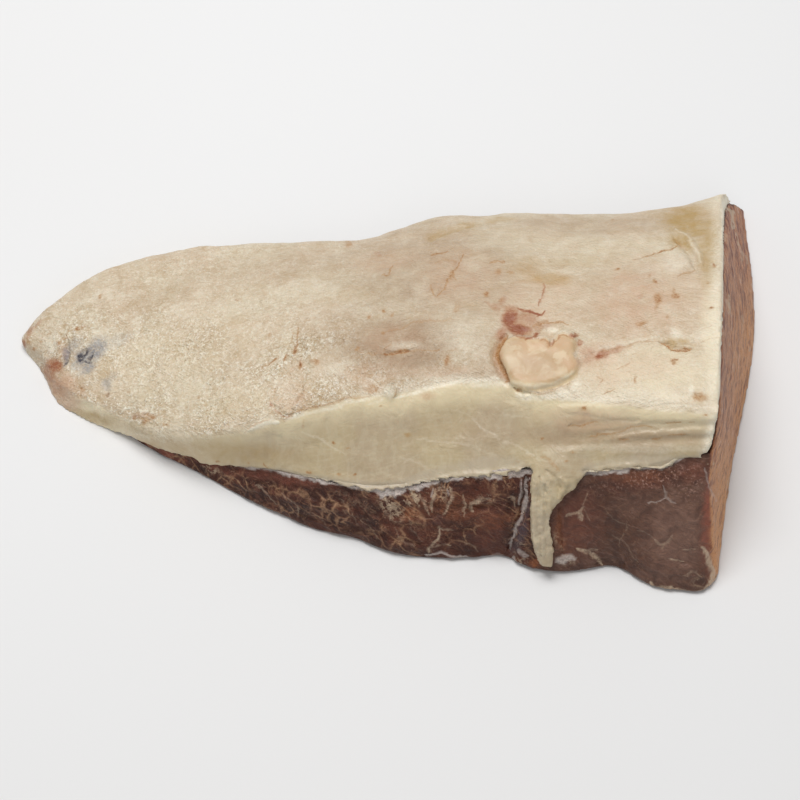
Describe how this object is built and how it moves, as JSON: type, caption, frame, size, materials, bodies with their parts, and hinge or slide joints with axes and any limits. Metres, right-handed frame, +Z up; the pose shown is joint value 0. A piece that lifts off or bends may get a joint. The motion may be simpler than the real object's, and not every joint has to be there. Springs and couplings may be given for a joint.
{
  "type": "picanha",
  "caption": "Whole raw beef rump cap lying on its lean side, with a thick fat cap on top, a pointed tip at one end and a straight knife cut at the other.",
  "frame": {"origin": "under the middle of the whole cut, on the plane that it rests on", "axes": "+X towards the straight knife cut, with the tip at -X; +Y towards the thin back edge, with the trimmed thick side at -Y; +Z up, through the fat cap"},
  "size_m": [0.2982, 0.1814, 0.0615],
  "materials": {
    "fat": "raw beef fat, cream, granular on the outer face and smooth where it was trimmed, with a soft moist sheen",
    "lean": "raw aged beef muscle, dark red-brown, fibrous and marbled, moist"
  },
  "bodies": {
    "root": {"fat_cap": "fat", "lean_meat": "lean"}
  },
  "joints": []
}
